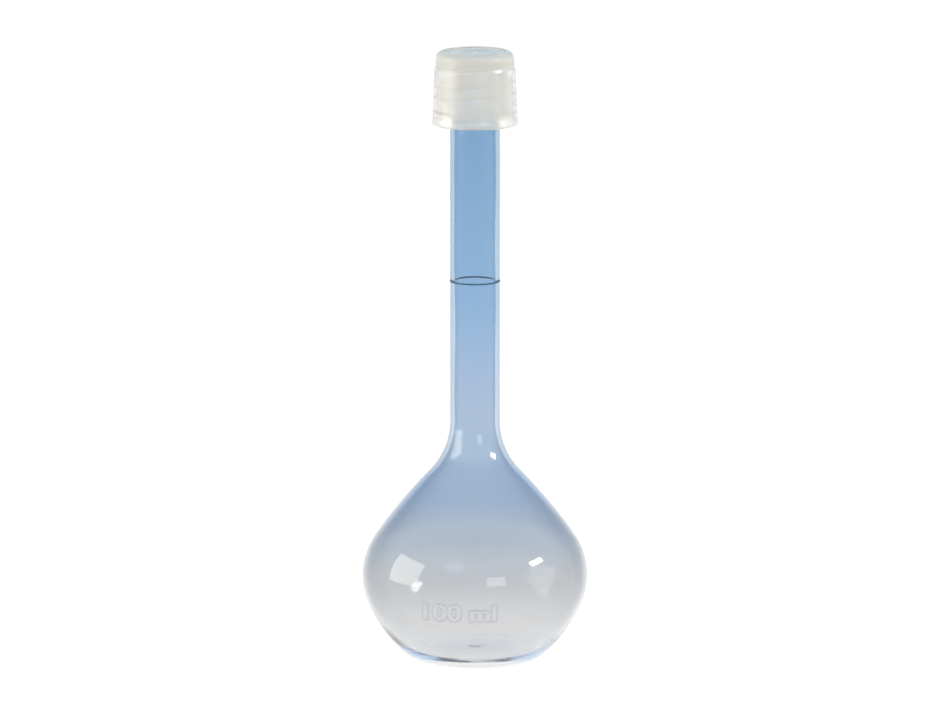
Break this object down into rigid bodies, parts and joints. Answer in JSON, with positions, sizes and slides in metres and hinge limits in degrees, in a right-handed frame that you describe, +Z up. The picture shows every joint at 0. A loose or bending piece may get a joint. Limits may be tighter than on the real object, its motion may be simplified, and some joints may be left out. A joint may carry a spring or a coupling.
{
  "type": "volumetric flask",
  "caption": "Clear plastic volumetric flask: a pear-shaped bulb on a flat foot, a long narrow neck with a ring mark, and a translucent screw cap that unscrews upwards.",
  "frame": {"origin": "centre of the foot, on the surface the flask stands on", "axes": "+Z up along the flask's axis; -Y is the side with the raised capacity mark; +X is to the right when looking along +Y"},
  "size_m": [0.062, 0.062, 0.168],
  "materials": {
    "clear_plastic": "clear, polished, very faintly blue",
    "mark_ink": "thin printed line, dark blue-green",
    "cap_plastic": "milky translucent, uncoloured, satin",
    "liner_foam": "fine-celled white foam disc"
  },
  "bodies": {
    "flask": {"flask_body": "clear_plastic", "ring_mark": "mark_ink"},
    "liner": {"cap_liner": "liner_foam"},
    "cap": {"cap_shell": "cap_plastic"}
  },
  "joints": [
    {"name": "cap_lift", "type": "slide", "parent": "flask", "child": "liner", "axis": [0, 0, 1], "range_m": [0, 0.024]},
    {"name": "cap_turn", "type": "hinge", "parent": "liner", "child": "cap", "pos_m": [0, 0, 0.1654], "axis": [0, 0, 1], "range_deg": [0, 2880]}
  ],
  "couplings": [
    {"joint": "cap_lift", "follows": "cap_turn", "m_per_rad": 0.00047746}
  ]
}
